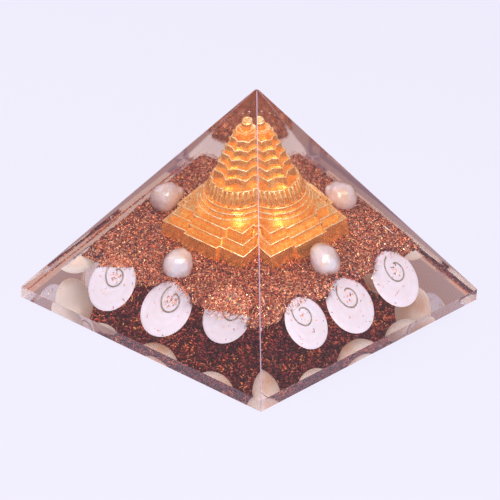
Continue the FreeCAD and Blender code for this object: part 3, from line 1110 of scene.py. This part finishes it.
def make_chip(kind):
    """One shaving: a bent strip, a curl or a flat flake, each narrower at one end."""
    long, wide, thick = (size * MM for size in CHIP_SIZES[kind])
    bpy.ops.mesh.primitive_cylinder_add(
        vertices=4 if kind == "curl" else 3, radius=0.5, depth=1, rotation=(0, QUARTER, 0)
    )
    chip = settle(named("chip_" + kind))
    chip.scale = (long, wide, thick)
    settle(chip)
    edit(chip)
    if kind != "flake":
        pick_all()
        bpy.ops.mesh.bisect(plane_co=(0, 0, 0), plane_no=(1, 0, 0))
        pick_corners(chip, lambda place: abs(place.x) < 0.1 * long)
        lift = 0.16 * long
        bpy.ops.transform.translate(value=(0, lift * 0.4, lift))
    pick_corners(chip, lambda place: place.x > 0.2 * long)
    bpy.ops.transform.resize(value=(1, 0.45 if kind == "flake" else 0.4, 1))
    rest()
    return chip


def chance(tree, seed, low=None, high=None):
    """A value drawn anew for each chip: a vector between two, or else a number from 0 to 1."""
    made = tree.nodes.new("FunctionNodeRandomValue")
    made.inputs["Seed"].default_value = seed
    if low:
        made.data_type = "FLOAT_VECTOR"
        made.inputs[0].default_value = low
        made.inputs[1].default_value = high
        return made.outputs[0]
    made.data_type = "FLOAT"
    return made.outputs[1]


def scatter_tree(chip, density, seed, tilt, low, high):
    """Nodes that strew a chip over faces, each one turned, sized and shaded by chance."""
    tree = bpy.data.node_groups.new("strew_" + chip.name, "GeometryNodeTree")
    for way in ("INPUT", "OUTPUT"):
        tree.interface.new_socket("Geometry", in_out=way, socket_type="NodeSocketGeometry")
    inside = tree.nodes.new("NodeGroupInput")
    outside = tree.nodes.new("NodeGroupOutput")
    points = put(tree.nodes.new("GeometryNodeDistributePointsOnFaces"), Density=density, Seed=seed)
    wire(tree, inside.outputs[0], points.inputs["Mesh"])
    turn = chance(tree, seed + 1, (-tilt, -tilt, -math.pi), (tilt, tilt, math.pi))
    spin = tree.nodes.new("FunctionNodeEulerToRotation")
    wire(tree, turn, spin.inputs[0])
    both = tree.nodes.new("FunctionNodeRotateRotation")
    both.rotation_space = "LOCAL"
    wire(tree, points.outputs["Rotation"], both.inputs[0])
    wire(tree, spin.outputs[0], both.inputs[1])
    size = chance(tree, seed + 2, (low, low, low), (high, high * 0.9, high * 1.2))
    source = put(tree.nodes.new("GeometryNodeObjectInfo"), Object=chip)
    place = tree.nodes.new("GeometryNodeInstanceOnPoints")
    wire(tree, points.outputs["Points"], place.inputs["Points"])
    wire(tree, source.outputs["Geometry"], place.inputs["Instance"])
    wire(tree, both.outputs[0], place.inputs["Rotation"])
    wire(tree, size, place.inputs["Scale"])
    store = tree.nodes.new("GeometryNodeStoreNamedAttribute")
    store.data_type = "FLOAT"
    store.domain = "INSTANCE"
    put(store, Name="chip_shade")
    wire(tree, place.outputs[0], store.inputs["Geometry"])
    wire(tree, chance(tree, seed + 3), store.inputs["Value"])
    real = tree.nodes.new("GeometryNodeRealizeInstances")
    wire(tree, store.outputs[0], real.inputs[0])
    wire(tree, real.outputs[0], outside.inputs[0])
    return tree


def strew(emitter, name, tree, finish):
    """A piece made of many chips that lie over an emitter's faces."""
    layer = copy_of(emitter, name)
    layer.data.materials.clear()
    layer.modifiers.new("strew", "NODES").node_group = tree
    apply_all(layer)
    layer.data.materials.clear()
    layer.data.materials.append(finish)
    finish_piece(layer, "copper_chips")


def make_fringe(drop=0.0):
    """A strip before each side where shavings hang over the discs, its uneven foot let down."""
    strips = []
    for name, feet in FRINGE_FEET.items():
        bpy.ops.mesh.primitive_grid_add(x_subdivisions=len(feet) - 1, y_subdivisions=3, size=2)
        strip = named("fringe_" + name)
        turn = side_turn(name)
        for corner in strip.data.vertices:
            place = (corner.co.x + 1) / 2 * (len(feet) - 1)
            foot = (feet[round(place)] - drop) * MM
            level = foot + (BED_TOP + FRINGE_RISE - foot) * (corner.co.y + 1) / 2
            out = outward(level, FRINGE_DEPTH)
            corner.co = turn @ Vector((corner.co.x * (out - FRINGE_END), -out, level))
        strips.append(strip)
    return join(strips)


# Above these heights, in a line with this slant, a disc is covered by shavings or only dusted.
COVERED_ABOVE = {("front", 1): (10.9, -15), ("front", 2): (11.0, 12), ("front", 3): (10.4, -10)}
DUSTED_ABOVE = {
    ("front", 1): (10.5, -14),
    ("front", 2): (10.6, 12),
    ("front", 3): (10.1, -10),
    ("right", 1): (11.3, -6),
    ("right", 2): (11.6, 8),
    ("right", 3): (12.2, 6),
}


def flat_face(side, number):
    """A copy of a disc's flat face without the line on it, open for editing."""
    face = copy_of(bpy.data.objects["shell_%s_%d" % (side, number)], "flat_face")
    edit(face)
    form = bmesh.from_edit_mesh(face.data)
    other = [part for part in form.faces if part.material_index != 0]
    bmesh.ops.delete(form, geom=other, context="FACES")
    bmesh.update_edit_mesh(face.data)
    return face


def make_disc_tops(levels):
    """The upper parts of the discs, where the shavings lie over them."""
    tops = []
    for (side, number), (level, slant) in levels.items():
        top = flat_face(side, number)
        pick_all()
        tilt = math.radians(slant)
        across = side_turn(side) @ Vector((math.sin(tilt), 0, math.cos(tilt)))
        low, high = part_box("disc_%s_%d" % (side, number))
        middle = (low + high) / 2
        middle.z = level * MM
        bpy.ops.mesh.bisect(plane_co=middle, plane_no=across, clear_inner=True)
        rest()
        tops.append(top)
    return join(tops)


def make_disc_faces():
    """The flat faces of the discs, for the few shavings that cling to them."""
    faces = [flat_face(side, number) for side, number, *_ in DISCS]
    return join(faces)


def make_loop_patches(name):
    """Small patches over the spirals' loops on one side, where shavings have caught."""
    bpy.ops.mesh.primitive_circle_add(
        vertices=12, radius=0.24, fill_type="NGON", location=(0.17, 0.24, 0.045)
    )
    pattern = settle(named("loop_pattern"))
    patches = []
    for side, number, *_ in DISCS:
        if side == name:
            patches.append(copy_of(pattern, "loop_patch", disc_place(side, number, True)))
    discard(pattern)
    return join(patches)


def part_of(piece, name, test):
    """A copy of a piece that keeps only the faces whose middle and normal pass the test."""
    part = copy_of(piece, name)
    edit(part)
    pick_faces(part, lambda place, normal: not test(place, normal))
    bpy.ops.mesh.delete(type="FACE")
    rest()
    return part


# Sizes of the smallest and the largest chip.
CHIP_RANGE = (0.6, 1.5)
# Name of each loose layer, where it lies, its chips, how many on a square metre, the seed, the
# tilt, and its own smallest and largest size if it has them.
LAYERS = (
    ("shavings_strips", "upper", "strip", 2.0e6, 11, 0.7, 0.7, 1.9),
    ("shavings_curls", "upper", "curl", 1.3e6, 21, 0.8, 0.7, 1.8),
    ("shavings_flakes", "upper", "flake", 2.4e6, 31, 0.6, 0.7, 1.7),
    ("underside_strips", "under", "strip", 2.0e6, 111, 0.9, 0.8, 2.6),
    ("underside_flakes", "under", "flake", 1.6e6, 121, 0.9, 0.8, 2.6),
    ("fringe_strips", "fringe", "strip", 3.2e6, 41, 0.9),
    ("fringe_flakes", "fringe", "flake", 3.0e6, 51, 0.9),
    ("loose_strips", "loose", "strip", 0.8e6, 81, 0.9),
    ("covering_strips", "covered", "strip", 20e6, 91, 0.6),
    ("covering_flakes", "covered", "flake", 34e6, 101, 0.5),
    ("dusting_strips", "dusted", "strip", 2.0e6, 131, 0.6),
    ("dusting_flakes", "dusted", "flake", 2.5e6, 141, 0.5),
    ("clinging_strips", "faces", "strip", 0.10e6, 61, 0.15),
    ("clinging_flakes", "faces", "flake", 0.12e6, 71, 0.15),
    ("caught_flakes_front", "front_loops", "flake", 2.6e6, 151, 0.35),
    ("caught_curls_front", "front_loops", "curl", 1.3e6, 156, 0.35),
    ("caught_flakes_right", "right_loops", "flake", 1.1e6, 161, 0.35),
    ("caught_curls_right", "right_loops", "curl", 0.55e6, 166, 0.35),
)


def make_shavings(heap_finish, chip_finish, deep_finish):
    """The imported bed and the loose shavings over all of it."""
    heap = make_heap(heap_finish)
    chips = {kind: make_chip(kind) for kind in CHIP_SIZES}
    emitters = {
        "upper": part_of(heap, "heap_upper", lambda place, normal: normal.z > -0.3),
        "under": part_of(heap, "heap_under", lambda place, normal: normal.z < 0.1),
        "fringe": make_fringe(),
        "loose": make_fringe(drop=0.9),
        "covered": make_disc_tops(COVERED_ABOVE),
        "dusted": make_disc_tops(DUSTED_ABOVE),
        "faces": make_disc_faces(),
        "front_loops": make_loop_patches("front"),
        "right_loops": make_loop_patches("right"),
    }
    for name, spot, kind, crowd, seed, tilt, *sizes in LAYERS:
        finish = deep_finish if spot == "under" else chip_finish
        tree = scatter_tree(chips[kind], crowd, seed, tilt, *(sizes or CHIP_RANGE))
        strew(emitters[spot], name, tree, finish)
    discard(*chips.values(), *emitters.values())


# Floor and light

BACKDROP = (0.873, 0.851, 0.991)
# Name, place, size and power of each lamp: one over the camera and one at each side of it.
LAMPS = (
    ("key", (0.47, -0.46, 0.66), 0.26, 4.9),
    ("left", (-0.55, -0.10, 0.62), 0.40, 2.8),
    ("right", (0.62, 0.02, 0.62), 0.34, 2.5),
)


def make_floor():
    """A wide pale floor that keeps a soft shadow."""
    bpy.ops.mesh.primitive_circle_add(
        vertices=96, radius=3.0, fill_type="NGON", location=(0, 0, -0.1 * MM)
    )
    floor = settle(named("floor"))
    material, tree = new_material("pale_floor")
    shader = principled(tree, Base_Color=(0.80, 0.78, 0.84, 1), Roughness=0.9)
    glow = add(tree, "Emission", Color=(*BACKDROP, 1), Strength=1.0)
    path = add(tree, "LightPath")
    share = sums(tree, "MULTIPLY", path.outputs["Is Camera Ray"], 0.85)
    share = sums(tree, "MULTIPLY_ADD", path.outputs["Is Transmission Ray"], 0.5, share)
    seen = blended(tree, share, shader, glow)
    wire(tree, seen.outputs[0], output_of(tree).inputs[0])
    floor.data.materials.append(material)


def make_world():
    """A pale world that lights softly and is seen as the backdrop."""
    world = bpy.data.worlds.new("backdrop")
    bpy.context.scene.world = world
    world.use_nodes = True
    tree = world.node_tree
    tree.nodes.clear()
    output = add(tree, "OutputWorld")
    path = add(tree, "LightPath")
    light = add(tree, "Background")
    level = sums(tree, "MULTIPLY_ADD", path.outputs["Is Camera Ray"], 0.68, 0.32)
    level = sums(tree, "MULTIPLY_ADD", path.outputs["Is Transmission Ray"], 0.50, level)
    level = sums(tree, "MULTIPLY_ADD", path.outputs["Is Glossy Ray"], 0.35, level)
    wire(tree, level, light.inputs["Strength"])
    put(light, Color=(*BACKDROP, 1))
    wire(tree, light.outputs[0], output.inputs[0])


def make_lamp(name, place, size, power):
    """A square soft lamp that faces the object."""
    light = bpy.data.lights.new(name, "AREA")
    light.size = size
    light.energy = power
    lamp = bpy.data.objects.new(name, light)
    bpy.context.scene.collection.objects.link(lamp)
    lamp.location = place
    aim = Vector((0, 0, 0.015)) - Vector(place)
    lamp.rotation_euler = aim.to_track_quat("-Z", "Y").to_euler()
    lamp.visible_transmission = False


make_camera()
make_floor()
make_world()
for lamp in LAMPS:
    make_lamp(*lamp)
make_resin_shell(make_resin_finish())
make_yantra(make_gilt_finish(), make_lip_finish())
make_pearls(make_pearl_finish())
make_discs(make_shell_finish(), make_shell_back_finish(), make_spiral_finish())
make_shavings(make_heap_finish(), make_chip_finish(), make_deep_chip_finish())
rest()

bpy.context.scene.view_settings.view_transform = "Standard"
